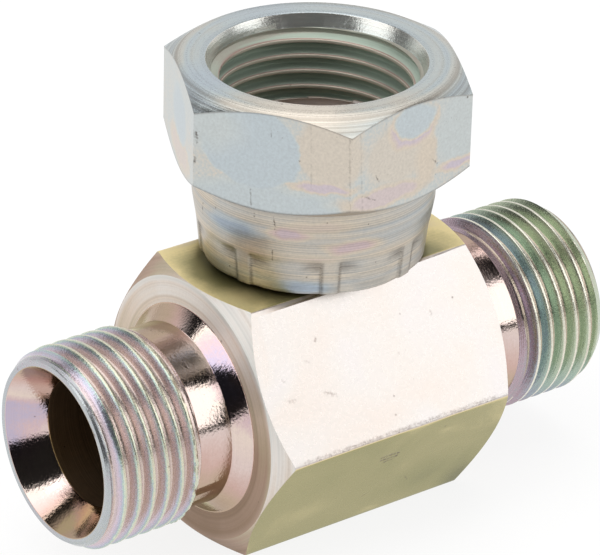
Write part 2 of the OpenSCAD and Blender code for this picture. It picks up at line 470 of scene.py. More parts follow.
def filmColour(tree, inMm, place, lathe, marks, finish):
    # the film's own value, changed by clouds, bands, rings, grain and areas, stains and painted shade among
    # them, runs along the ramp
    clouds = useGroup(tree, dryingPatches, {
        "Vector": place, "Size": finish["patchSize"], "Seed": finish["seed"],
    })["Clouds"]
    film = ownValue(tree, "film")
    for source, amount in (
        (clouds, "clouds"), (lathe["Bands"], "bandTint"), (lathe["Rings"], "ringTint"),
        (marks["Grain"], "grainTint"),
    ):
        if finish[amount]:
            film = calc(tree, "MULTIPLY_ADD", calc(tree, "SUBTRACT", source, 0.5), finish[amount], film)
    waves = noiseAt(tree, inMm, 0.45, 4, output="Color")
    for at, across, high, areaFilm, edge in finish["areas"].values():
        inside = useGroup(tree, stainAndShadeArea, {
            "Vector": inMm, "Centre": at, "Size": (across, across, high), "Noise": waves,
            "Waves": finish["areaWaves"], "Edge": edge,
        })["Mask"]
        film = mix(tree, inside, film, areaFilm)
    return colourRamp(tree, film, finish["ramp"])


def dirtAndShadeMask(tree, inMm, marks, finish):
    # pits, scratches, worn places, the painted shade along the jaw prints and the strokes that the finish
    # names
    dirtAndShade = ownValue(tree, "wornAndShaded")
    for source, strength in (("Pits", "pitDark"), ("Scratches", "scratchDark")):
        dirtAndShade = calc(tree, "MAXIMUM", dirtAndShade, calc(tree, "MULTIPLY", marks[source], finish[strength]))
    breaks = fromTo(tree, noiseAt(tree, inMm, 4, 2), 0.35, 0.65)
    for start, end, width, strength in finish["strokes"].values():
        mark = useGroup(tree, stroke, {
            "Vector": inMm, "Start": start, "End": end, "Width": width, "Breaks": breaks,
        })["Mask"]
        dirtAndShade = calc(tree, "MAXIMUM", dirtAndShade, calc(tree, "MULTIPLY", mark, strength))
    return dirtAndShade


def plated(name, axis, finish):
    # zinc plate under a thin coloured film, with the marks of making and handling
    material = bpy.data.materials.new(name)
    material.use_nodes = True
    tree = material.node_tree
    shader = tree.nodes["Principled BSDF"]
    inMm = vectorCalc(tree, "MULTIPLY", addNode(tree, "TexCoord").outputs["Object"], (1 / mm,) * 3)
    lift, turn = (-runHeight, -math.pi / 2) if axis == "run" else (0, 0)
    onAxis = vectorCalc(tree, "ADD", inMm, (0, 0, lift))
    place = addNode(tree, "Mapping", {"Vector": onAxis, "Rotation": (0, turn, 0)}).outputs[0]
    polar = useGroup(tree, roundAxis, {"Vector": place})
    lathe = useGroup(tree, latheMarks, {
        "Radius": polar["Radius"], "Height": polar["Height"], "Angle": polar["Angle"],
        "Fineness": finish["fineness"],
    })
    marks = useGroup(tree, handlingMarks, {
        "Vector": place, "Pit spacing": finish["pitSpacing"], "Pit share": finish["pitShare"],
    })
    colour = filmColour(tree, inMm, place, lathe, marks, finish)
    # this mask carries dirt and marks, and also painted shade, such as the steps of the jaw prints on the
    # collar
    dirtAndShade = dirtAndShadeMask(tree, inMm, marks, finish)
    darker = dirtAndShade
    for source, amount in ((lathe["Rings"], "ringDark"), (marks["Grain"], "grainDark")):
        lack = calc(tree, "SUBTRACT", 1, source)
        darker = calc(tree, "MULTIPLY_ADD", lack, finish[amount], darker, clamp=True)
    colour = mix(tree, darker, colour, shade(*finish["dirtAndShade"]), colours=True)
    tree.links.new(colour, shader.inputs["Base Color"])
    dull = ownValue(tree, "dull")
    tree.links.new(calc(tree, "SUBTRACT", 1, dull), shader.inputs["Metallic"])
    rough = calc(tree, "MULTIPLY_ADD", calc(tree, "SUBTRACT", lathe["Rings"], 0.5), finish["ringRough"],
                 finish["roughness"])
    rough = calc(tree, "MULTIPLY_ADD", marks["Grain"], finish["grainRough"], rough)
    rough = calc(tree, "MULTIPLY_ADD", dull, finish["dullRough"], rough, clamp=True)
    tree.links.new(rough, shader.inputs["Roughness"])
    height = calc(tree, "MULTIPLY", lathe["Rings"], finish["ringDepth"])
    height = calc(tree, "MULTIPLY_ADD", marks["Grain"], finish["grainDepth"], height)
    height = calc(tree, "MULTIPLY_ADD", dirtAndShade, -finish["pitDepth"], height)
    bump = addNode(tree, "Bump", {"Height": height, "Distance": 0.01 * mm, "Strength": 1})
    tree.links.new(bump.outputs["Normal"], shader.inputs["Normal"])
    return material


# What every finish has unless it says otherwise; depths are in hundredths of a millimetre.
# An area has its middle, how far it reaches across and up, its film and how soft its edge is.
# A stroke has its two ends, half its width and its strength.
plainFinish = {
    "ramp": [(0.0, (200, 200, 200)), (1.0, (200, 200, 200))],
    # the colour that dirt, handling marks and painted shade darken towards
    "dirtAndShade": (92, 76, 62),
    "areas": {},
    "areaWaves": 1.6,
    "strokes": {},
    "seed": 0.0,
    "patchSize": 0.147,
    "clouds": 0.1,
    "bandTint": 0.0,
    "ringTint": 0.0,
    "grainTint": 0.03,
    "grainDark": 0.03,
    "fineness": 11.0,
    "ringDark": 0.05,
    "pitDark": 0.75,
    "scratchDark": 0.45,
    "roughness": 0.25,
    "ringRough": 0.05,
    "grainRough": 0.06,
    "dullRough": 0.4,
    "ringDepth": 0.1,
    "grainDepth": 0.12,
    "pitDepth": 1.5,
    "pitSpacing": 1.3,
    "pitShare": 0.2,
}


def readAll(items, name, kind, wide=1):
    values = np.empty(len(items) * wide, kind)
    items.foreach_get(name, values)
    return values.reshape(-1, wide) if wide > 1 else values


def paintCorners(piece, layers):
    # writes one value per layer at every corner of every face, from its place, its normal and its finish
    mesh = piece.data
    sizes = readAll(mesh.polygons, "loop_total", np.int32)
    points = readAll(mesh.vertices, "co", np.float32, 3)[readAll(mesh.loops, "vertex_index", np.int32)] / mm
    normals = readAll(mesh.corner_normals, "vector", np.float32, 3)
    slots = np.repeat(readAll(mesh.polygons, "material_index", np.int32), sizes)
    facing = np.repeat(readAll(mesh.polygons, "normal", np.float32, 3), sizes, axis=0)
    for name, rule in layers.items():
        values = np.asarray(rule(points, normals, slots, facing), np.float32)
        mesh.attributes.new(name, "FLOAT", "CORNER").data.foreach_set("value", values)


# The film looks thickest to a face that leans this way, and its colour follows the lean
filmLean = Vector((-0.53, -0.70, 0.48)).normalized()


def lean(normals):
    return np.abs(normals @ np.array(filmLean))


print("hex body")
# Millimetres; heights are measured along the run from the middle of the body
bodyTurning = {
    "steps": 192,                  # columns round the run
    "halfBar": 11.75,              # from the middle to the turned end face
    "faceRadius": 10.94,           # the end face, just inside the flats
    "cornerSlope": 33.4,           # of the turned corners, degrees from the end face
    "flareRadius": 8.65,
    "flareLength": 1.2,
    "neckRadius": 7.5,
    "threadStart": 15.95,          # back of the thread
    "backChamfer": 0.8,
    "leadChamfer": 1.15,
    "endRingRadius": 7.45,
    "seatMouth": 6.95,
    "boreRadius": 5.25,
    "seatAngle": 30,               # of the coned seat, degrees from the axis
    "ease": 0.07,                  # broken edges
    "barEdge": 0.13,               # rounding of the six long edges
    "edgeSteps": 3,
    "branchBore": 4.625,
    "socketRadius": 6.55,
    "socketDepth": 4.5,
    "drillSteps": 128,
    "burrWidth": 0.6,              # of the ragged last crest
    "burrDepth": 0.2,              # how far below the crest it begins
    "burrHeight": 0.3,
    "burrFineness": 2.2,
    "sharp": 30,                   # degrees, a sharper bend than this stays an edge
}
bodySlot = {"flats": 0, "turned": 1, "thread": 2, "bore": 3, "faced": 4}
maleThread = {
    "pitch": 1.337,                # 19 turns to the inch
    "crest": maleCrest,
    "root": 7.52,
    "flankAngle": 27.5,
    "crestFlat": 0.24,
    "ease": 0.07,
    "finest": 0.19,                # longest stretch of the swept outline
    "phase": -0.07,                # where the first turn begins, in turns
}


def buildBody(size, thread):
    steps = size["steps"]
    corner = fullTurn / 4
    slope = math.tan(math.radians(size["cornerSlope"]))
    seatDepth = (size["seatMouth"] - size["boreRadius"]) / math.tan(math.radians(size["seatAngle"]))
    limits = [
        (size["neckRadius"], size["threadStart"]),
        (thread["crest"], size["threadStart"] + size["backChamfer"]),
        (thread["crest"], halfRun - size["leadChamfer"]),
        (size["endRingRadius"], halfRun),
        (size["endRingRadius"] - 1, halfRun + size["leadChamfer"]),
    ]
    bm = bmesh.new()
    back, front = helixThread(bm, thread, limits, (size["threadStart"], halfRun), steps, inside=False)
    threadFaces = set(bm.faces)
    # from the thread inwards over the neck, the flare and the end face
    outer = easeCorners([
        (size["neckRadius"], size["threadStart"]),
        (size["neckRadius"], size["halfBar"] + size["flareLength"]),
        (size["flareRadius"], size["halfBar"]),
        (size["faceRadius"], size["halfBar"]),
    ], size["ease"])
    ring = growOutline(bm, back, outer[1:])
    rim = (size["faceRadius"], size["halfBar"])
    ring = growRing(bm, ring, lambda angle: turnedCorner(angle, barFlats, corner, rim, -slope))
    turnedFaces = set(bm.faces) - threadFaces
    growRing(bm, ring, lambda angle: (hexRadius(angle, barFlats, corner), 0))
    flats = set(bm.faces) - threadFaces - turnedFaces
    # and from the end ring down the seat into the bore
    inner = easeCorners([
        (size["endRingRadius"], halfRun), (size["seatMouth"], halfRun),
        (size["boreRadius"], halfRun - seatDepth), (size["boreRadius"], 0),
    ], size["ease"])
    growOutline(bm, front, inner[1:])
    for face in bm.faces:
        radius = face.calc_center_median().xy.length
        if face in flats:
            slot = "flats"
        elif face in threadFaces:
            slot = "thread"
        elif face in turnedFaces:
            slot = "faced" if radius > size["flareRadius"] + size["ease"] else "turned"
        elif radius < size["boreRadius"] + 0.01:
            slot = "bore"
        else:
            slot = "thread" if radius > size["seatMouth"] + size["ease"] else "turned"
        face.material_index = bodySlot[slot]
    # the other half is the same one turned end for end
    half = bm.verts[:] + bm.edges[:] + bm.faces[:]
    other = bmesh.ops.duplicate(bm, geom=half)["geom"]
    bmesh.ops.rotate(bm, verts=vertsOf(other), cent=(0, 0, 0), matrix=Matrix.Rotation(math.pi, 3, "X"))
    bmesh.ops.remove_doubles(bm, verts=bm.verts[:], dist=seamGap)
    roughenLastCrest(bm, size, thread)
    roundBarEdges(bm, size)
    return bm


def roughenLastCrest(bm, size, thread):
    # the die left a ragged burr where the left thread runs out beside the neck
    foot = size["threadStart"] + size["backChamfer"]
    for vert in bm.verts:
        fromFoot = abs(vert.co.z + foot) / size["burrWidth"]
        radius = vert.co.xy.length
        if fromFoot < 1 and radius > thread["crest"] - size["burrDepth"]:
            raised = noise.noise(vert.co * size["burrFineness"]) * size["burrHeight"] * (1 - fromFoot)
            setPolar(vert, angleOf(vert), min(thread["crest"], radius + raised), vert.co.z)


def turnedCorner(angle, acrossFlats, corner, rim, slope):
    # where the cone that starts at a rim, a radius and a height, meets the hexagon's side
    radius = hexRadius(angle, acrossFlats, corner)
    return radius, rim[1] + (radius - rim[0]) * slope


def roundBarEdges(bm, size):
    # rounds the hexagon's long edges
    onCorner = barFlats / math.sqrt(3)
    edges = [
        edge for edge in bm.edges
        if all(abs(vert.co.xy.length - onCorner) < touching for vert in edge.verts)
        and abs(edge.verts[0].co.z - edge.verts[1].co.z) > 1
    ]
    bmesh.ops.bevel(
        bm, geom=edges, offset=size["barEdge"], offset_type="OFFSET", segments=size["edgeSteps"],
        profile=0.5, affect="EDGES", clamp_overlap=True, material=-1,
    )


def cutBranch(piece, size):
    # drills the branch bore and its socket through the top flat
    bm = bmesh.new()
    step = barFlats - size["socketDepth"]
    above = barFlats + 2
    bore, socket = size["branchBore"], size["socketRadius"]
    circle = bmesh.ops.create_circle(bm, segments=size["drillSteps"], radius=bore, cap_ends=True)
    bmesh.ops.translate(bm, verts=circle["verts"], vec=(0, 0, runHeight))
    ring = growOutline(bm, ringAt(bm, runHeight), [(bore, step), (socket, step), (socket, above)])
    bmesh.ops.holes_fill(bm, edges=ring, sides=0)
    for face in bm.faces:
        face.material_index = bodySlot["bore"]
    drill = finishMesh("drill", bm, Matrix.Identity(4), size["sharp"], piece.data.materials[:])
    modifier = piece.modifiers.new("branch", "BOOLEAN")
    modifier.operation = "DIFFERENCE"
    modifier.solver = "EXACT"
    modifier.object = drill
    view = bpy.context.evaluated_depsgraph_get()
    drilled = bpy.data.meshes.new_from_object(piece.evaluated_get(view))
    piece.modifiers.clear()
    whole = piece.data
    piece.data = drilled
    bpy.data.meshes.remove(whole)
    bpy.data.objects.remove(drill)


print("body finishes")
flatFinish = {
    **plainFinish,
    # the darkest stop, at 0.10, serves only the painted shade at the right end of the lower flat
    "ramp": [
        (0.10, (110, 108, 68)), (0.28, (154, 149, 98)), (0.40, (168, 160, 110)), (0.54, (244, 226, 168)),
        (0.62, (226, 210, 186)), (0.76, (212, 201, 193)), (0.84, (211, 205, 200)), (0.92, (210, 205, 204)),
        (1.0, (210, 198, 202)),
    ],
    "areas": {
        # painted shade: a dark olive area low on the right end of the front lower flat
        "paintedShadeEnd": ((10.2, -6.8, 0.9), 1.5, 4.0, 0.14, 1.4),
        "greenMiddle": ((6.0, -8.0, 3.0), 3.5, 2.0, 0.25, 1.6),
        "paleStart": ((-6.5, -9.0, 3.5), 5.0, 2.5, 0.42, 1.6),
        "goldTop": ((-9.7, -3.6, 22.0), 1.4, 1.0, 0.5, 1.2),
    },
    "strokes": {
        "fleckA": ((-5.6, -8.1, 19.0), (-5.7, -8.2, 18.8), 0.16, 0.4),
        "fleckB": ((-7.0, -8.8, 17.8), (-6.8, -8.9, 17.6), 0.18, 0.3),
        "fleckC": ((-9.6, -9.2, 17.0), (-9.5, -9.3, 16.8), 0.18, 0.22),
        "fleckD": ((1.5, -9.6, 16.3), (1.6, -9.7, 16.1), 0.14, 0.3),
        "fleckE": ((5.5, -8.5, 18.3), (5.6, -8.6, 18.0), 0.2, 0.3),
        "dent": ((-6.1, -10.2, 15.3), (-5.2, -10.4, 14.9), 0.26, 0.36),
        "smear": ((-9.8, -10.0, 15.6), (-9.0, -10.1, 15.4), 0.28, 0.3),
        "roughLower": ((-9.6, -12.6, 11.2), (9.2, -12.6, 11.2), 0.24, 0.36),
        "hatchA": ((-0.9, -11.0, 8.1), (1.0, -11.0, 8.0), 0.2, 1.0),
        "hatchB": ((-0.7, -10.8, 7.7), (1.1, -10.8, 7.6), 0.2, 1.0),
        "hatchC": ((-0.3, -10.6, 7.3), (0.7, -10.6, 7.4), 0.18, 1.0),
        "scrapeA": ((3.4, -8.7, 4.0), (4.1, -8.2, 3.2), 0.10, 0.6),
        "scrapeB": ((-0.4, -8.1, 3.0), (0.1, -8.3, 3.3), 0.10, 0.5),
    },
    "dirtAndShade": (92, 70, 58),
    "clouds": 0.13,
    "grainTint": 0.02,
    "grainDepth": 0.06,
    "roughness": 0.26,
    "pitShare": 0.12,
    "ringDark": 0.0,
    "ringRough": 0.0,
    "ringDepth": 0.0,
}
turnedFinish = {
    **plainFinish,
    "ramp": [
        (0.22, (182, 170, 114)), (0.36, (178, 152, 128)), (0.50, (194, 170, 146)), (0.64, (208, 176, 166)),
        (0.78, (220, 200, 194)), (0.88, (226, 208, 196)), (0.95, (208, 182, 184)), (1.0, (190, 178, 196)),
    ],
    "strokes": {
        "blobA": ((-14.9, -3.5, 17.6), (-14.9, -3.7, 17.5), 0.35, 0.6),
        "blobB": ((-12.1, 0.3, 18.5), (-12.1, -0.2, 18.5), 0.3, 0.5),
    },
    "dirtAndShade": (60, 46, 40),
    "seed": 4.0,
    "clouds": 0.16,
    "grainDepth": 0.5,
    "roughness": 0.07,
    "pitShare": 0.25,
}
facedFinish = {
    **turnedFinish,
    "ramp": [
        (0.25, (164, 138, 116)), (0.42, (188, 162, 144)), (0.55, (200, 186, 162)), (0.68, (222, 206, 190)),
        (0.82, (236, 230, 224)), (1.0, (222, 224, 220)),
    ],
    "strokes": {},
    "clouds": 0.08,
    "ringDark": 0.16,
    "bandTint": 0.18,
    "fineness": 7.0,
    "grainDepth": 0.15,
    "ringDepth": 0.3,
    "roughness": 0.34,
}
# the thread of the left end runs along the first half of the ramp, that of the right end along the second;
# the last, near-white stop is a painted highlight on the right thread's crests
threadFinish = {
    **plainFinish,
    "ramp": [
        (0.0, (236, 224, 200)), (0.09, (224, 204, 190)), (0.16, (230, 212, 206)), (0.25, (224, 206, 218)),
        (0.30, (196, 198, 216)), (0.32, (190, 212, 206)), (0.34, (218, 230, 212)), (0.38, (232, 224, 200)),
        (0.47, (192, 200, 204)), (0.53, (196, 172, 184)), (0.60, (174, 184, 196)), (0.68, (182, 204, 192)),
        (0.80, (198, 210, 184)), (0.87, (206, 188, 170)), (0.95, (244, 242, 226)),
    ],
    "strokes": {"nick": ((-24.75, -5.2, 15.6), (-24.75, -5.7, 15.2), 0.22, 0.9)},
    "seed": 9.0,
    "clouds": 0.04,
    "ringTint": 0.03,
    "grainDepth": 0.7,
    "grainDark": 0.1,
    "ringDepth": 0.5,
    "roughness": 0.19,
    "pitShare": 0.35,
    "fineness": 12.0,
    "ringDark": 0.2,
}
boreFinish = {
    **plainFinish,
    "ramp": [(0.0, (146, 122, 98)), (1.0, (158, 134, 108))],
    "dirtAndShade": (30, 22, 16),
    "ringDark": 0.5,
    "roughness": 0.45,
}
bodyMaterials = [
    plated(name, "run", finish) for name, finish in (
        ("barFlats", flatFinish), ("turnedEnds", turnedFinish), ("threadPlating", threadFinish),
        ("drilledBore", boreFinish), ("facedEnds", facedFinish),
    )
]
# Where each face lies on the ramp of its finish; a thread has one value at its root and one at its crest
bodyFilms = {
    "leftOut": (0.18, 0.34),       # the flank that faces the open end
    "leftIn": (0.10, 0.0),         # and the one that faces the body
    "leftLevel": (0.13, 0.37),
    "rightFlank": 0.53,
    "rightGreen": 0.27,            # added towards the open end
    "greenAlong": (0.6, 3.5),      # where it starts behind the back of the thread, and over what length
    "greenHeight": (3.0, 6.0),     # the same above the table
    # painted highlight: the right thread's crests take the near-white end of the ramp
    "rightLevel": (0.87, 0.95),
    "level": 0.45,                 # a face that leans less is a crest or a root
    "lip": 0.47,
    "lipWidth": 0.45,
    "topFlat": 0.53,
    "endFace": 0.26,
    "endFaceOut": 0.1,             # added from the flare to the corners
    "outwards": (0.4, 1.6),        # where that starts beyond the flare, and over what width
    # the end face turns from pinkish below to pale grey above; its lightening upwards is painted light
    "endFaceUp": 0.5,              # added from the bottom to the top
    "upwards": (5, 14),            # where that starts above the table, and over what height
    # painted reflection: round the seat the film changes angle by angle with what the seat mirrors, over its
    # own film colour
    "seatAngles": (-180, -90, -60, -40, -20, 10, 30, 50, 65, 100, 180),   # 90 is up, 0 is the back
    "seats": (0.30, 0.36, 0.80, 0.92, 0.98, 0.95, 0.74, 0.44, 0.22, 0.24, 0.30),
}
bodyDullness = {"topFlat": 0.52, "faced": 0.35, "leftThread": 0.11, "rightThread": 0.08}
facingUp = 0.9                 # a normal that rises more than this faces up
facingEnd = 0.97               # and one that runs along more than this faces an end


def rise(values, span):
    # from 0 at the start of a span to 1 past its length
    start, length = span
    return np.clip((values - start) / length, 0, 1)


def between(pair, share):
    return pair[0] + (pair[1] - pair[0]) * share


def threadFilm(points, radius, facing):
    # crests, roots and the two flanks each have their own film; on the right end it also changes along, and
    # its crests are painted near white as a painted highlight
    films = bodyFilms
    up = rise(radius, (maleThread["root"], maleCrest - maleThread["root"]))
    outwards = facing[:, 0] * np.sign(points[:, 0])
    level = np.abs(outwards) < films["level"]
    left = np.where(outwards > 0, between(films["leftOut"], up), between(films["leftIn"], up))
    left = np.where(level, np.where(up > 0.5, films["leftLevel"][1], films["leftLevel"][0]), left)
    left = np.where(points[:, 0] < films["lipWidth"] - halfRun, films["lip"], left)
    green = rise(points[:, 2], films["greenHeight"])
    green = green * rise(points[:, 0] - bodyTurning["threadStart"], films["greenAlong"])
    right = films["rightFlank"] + films["rightGreen"] * green
    right = np.where(level, np.where(up > 0.5, films["rightLevel"][1], films["rightLevel"][0]), right)
    return np.where(points[:, 0] < 0, left, right)


def onTopFlat(normals, slots):
    return (slots == bodySlot["flats"]) & (normals[:, 2] > facingUp)


def bodyFilm(points, normals, slots, facing):
    # flats and turned faces by their lean, a thread by its faces, the seats by their angle round the run as a
    # painted reflection, the end faces lighter towards the top as painted light
    size, films = bodyTurning, bodyFilms
    along = np.abs(points[:, 0])
    radius = np.hypot(points[:, 1], points[:, 2] - runHeight)
    angle = np.degrees(np.arctan2(points[:, 2] - runHeight, points[:, 1]))
    film = np.where(onTopFlat(normals, slots), films["topFlat"], lean(normals))
    film = np.where(slots == bodySlot["thread"], threadFilm(points, radius, facing), film)
    endFace = films["endFace"] + films["endFaceOut"] * rise(radius - size["flareRadius"], films["outwards"])
    endFace = endFace + films["endFaceUp"] * rise(points[:, 2], films["upwards"])
    film = np.where((slots == bodySlot["faced"]) & (np.abs(normals[:, 0]) > facingEnd), endFace, film)
    inSeat = (slots == bodySlot["turned"]) & (radius < size["seatMouth"] + 0.05)
    inSeat = inSeat & (along > size["threadStart"])
    film = np.where(inSeat, np.interp(angle, films["seatAngles"], films["seats"]), film)
    endRing = (slots == bodySlot["thread"]) & (along > halfRun - 0.02)
    return np.where(endRing, films["lip"], film)


def bodyDull(points, normals, slots, facing):
    dull = bodyDullness
    thread = np.where(points[:, 0] > 0, dull["rightThread"], dull["leftThread"])
    return np.select(
        [onTopFlat(normals, slots), slots == bodySlot["faced"], slots == bodySlot["thread"]],
        [dull["topFlat"], dull["faced"], thread], 0,
    )


ontoRun = Matrix.Translation((0, 0, runHeight)) @ Matrix.Rotation(math.pi / 2, 4, "Y")
body = finishMesh("hexBody", buildBody(bodyTurning, maleThread), ontoRun, bodyTurning["sharp"], bodyMaterials)
cutBranch(body, bodyTurning)
paintCorners(body, {"film": bodyFilm, "dull": bodyDull})
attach(body, "tee")
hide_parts("hex_body")

print("swivel nut")
# Millimetres; heights are measured from the collar's lower edge
nutTurning = {
    "steps": 288,                  # columns round the nut
    "restTurn": 5.5,               # degrees, from a corner over the run
    "acrossFlats": 22.0,
    "height": nutHigh.z - nutLow.z,
    "hexHeight": 8.5,
    "faceRadius": 10.75,
    "faceSlope": 29,               # of the top corners, degrees
    "underRadius": 10.85,
    "underSlope": 34,
    "burrBand": 0.16,              # of the dark line along the edges of the flats
    "mouthRadius": 8.75,
    "mouthFoot": 8.35,             # the mouth narrows a little on the way down
    "mouthDepth": 1.12,
    "leadDepth": 0.55,
    "grooveRadius": 8.6,
    "grooveSlope": 0.5,
    "landTop": 5.6,
    "landFoot": 4.95,
    "collarBore": 8.08,
    "lipBore": 7.4,
    "lipConeTop": 3.03,
    "lipConeFoot": 2.35,
    "collarRadius": 9.7,
    "collarEase": 0.2,
    "collarFinest": 0.25,          # longest stretch of its outline
    "crimpTop": 4.95,
    "crimpRadius": 9.35,
    "lipRadius": 9.05,
    "jawTop": 2.85,
    "jawDepth": 0.15,
    "jawCount": 8,
    "ridgeAngle": 9,
    "ridgeStart": 17,
    "ridgeEase": 1.8,              # degrees over which a ridge turns into a print
    "jawEase": 0.3,
    "jawFade": (1.3, 0.75),        # how soon a print gets shallower from its ridge, and by what share
    "ease": 0.08,
    "sharp": 30,
}
nutSlot = {"flats": 0, "top": 1, "thread": 2, "collar": 3, "mouth": 4, "chamfer": 5}
nutThread = {
    "pitch": 1.337,
    "crest": nutCrest,
    "root": 8.35,
    "flankAngle": 27.5,
    "crestFlat": 0.25,
    "ease": 0.08,
    "finest": 0.22,
    "phase": 0.5,
}


def jawPress(angle, height, size):
    # how deep the crimping jaws press in at a point of the collar
    step = 360 / size["jawCount"]
    halfRidge = size["ridgeAngle"] / 2
    fromRidge = (math.degrees(angle) + size["restTurn"] - size["ridgeStart"] + step / 2) % step - step / 2
    outside = abs(fromRidge) - halfRidge
    inJaw = smooth(outside / size["ridgeEase"] + 0.5)
    below = smooth((size["jawTop"] - height) / size["jawEase"] + 0.5)
    toMiddle = min(1, max(0, outside / (step / 2 - halfRidge)))
    soon, share = size["jawFade"]
    return size["jawDepth"] * inJaw * below * (1 - share * smooth(toMiddle * soon))


def smooth(share):
    share = min(1, max(0, share))
    return share * share * (3 - 2 * share)


def buildNut(size, thread):
    steps = size["steps"]
    top = size["height"]
    hexFoot = top - size["hexHeight"]
    threadTop = top - size["mouthDepth"] - size["leadDepth"]
    threadFoot = threadTop - nutThreadLength
    mouthFoot = top - size["mouthDepth"]
    limits = [
        (size["grooveRadius"], threadFoot - size["grooveSlope"]), (thread["crest"], threadFoot),
        (thread["crest"], threadTop), (size["mouthFoot"], mouthFoot), (size["mouthRadius"] + 0.5, top),
    ]
    bm = bmesh.new()
    ends = (threadFoot - size["grooveSlope"], mouthFoot)
    foot, mouth = helixThread(bm, thread, limits, ends, steps, inside=True)
    for face in bm.faces:
        face.material_index = nutSlot["thread"]
    topSlope = math.tan(math.radians(size["faceSlope"]))
    underSlope = math.tan(math.radians(size["underSlope"]))
    before = set(bm.faces)
    # out of the mouth and over the top face
    outline = easeCorners([
        (size["mouthFoot"], mouthFoot), (size["mouthRadius"], top - size["ease"]),
        (size["mouthRadius"] + size["ease"], top), (size["faceRadius"], top),
    ], size["ease"] / 2)
    ring = growOutline(bm, mouth, outline[1:])
    across, burr = size["acrossFlats"], size["burrBand"]
    upper, lower = size["faceRadius"], size["underRadius"]
    ring = growRing(bm, ring, lambda angle: turnedCorner(angle, across, 0, (upper, top), -topSlope))
    turnedTop = set(bm.faces) - before
    for rim, slope in (
        ((upper, top - burr), -topSlope), ((lower, hexFoot + burr), underSlope),
        ((lower, hexFoot), underSlope),
    ):
        ring = growRing(bm, ring, lambda angle: turnedCorner(angle, across, 0, rim, slope))
    flats = set(bm.faces) - before - turnedTop
    # under the hexagon and down the collar
    ring = growRing(bm, ring, lambda angle: (size["underRadius"], hexFoot))
    collar = splitLong(easeCorners([
        (size["underRadius"], hexFoot), (size["collarRadius"], hexFoot),
        (size["collarRadius"], size["crimpTop"]), (size["crimpRadius"], size["jawTop"]),
        (size["lipRadius"], 0), (size["lipBore"], 0),
    ], size["collarEase"]), size["collarFinest"])
    for radius, height in collar[1:]:
        pressed = radius > size["lipBore"] + 1        # the jaws reach only the outside
        ring = growRing(bm, ring, lambda angle: (
            radius - (jawPress(angle, height, size) if pressed else 0), height))
    # back up through the inside to the foot of the thread
    inside = easeCorners([
        (size["lipBore"], 0), (size["lipBore"], size["lipConeFoot"]),
        (size["collarBore"], size["lipConeTop"]), (size["collarBore"], size["landFoot"]),
        (thread["crest"], size["landFoot"]), (thread["crest"], size["landTop"]),
        (size["grooveRadius"], size["landTop"] + size["grooveSlope"]),
        (size["grooveRadius"], threadFoot - size["grooveSlope"]),
    ], size["ease"])
    growOutline(bm, ring, inside[1:])
    grooveFoot = size["landTop"] + size["grooveSlope"]
    for face in set(bm.faces) - before:
        middle = face.calc_center_median()
        radius = middle.xy.length
        if face in flats:
            slot = "flats"
        elif face in turnedTop:
            onCorner = middle.z < top - touching and radius > size["faceRadius"]
            slot = "mouth" if radius < size["mouthRadius"] + 0.02 else "chamfer" if onCorner else "top"
        elif middle.z > grooveFoot and radius < size["grooveRadius"] + 0.01:
            slot = "thread"
        else:
            slot = "collar"
        face.material_index = nutSlot[slot]
    return bm


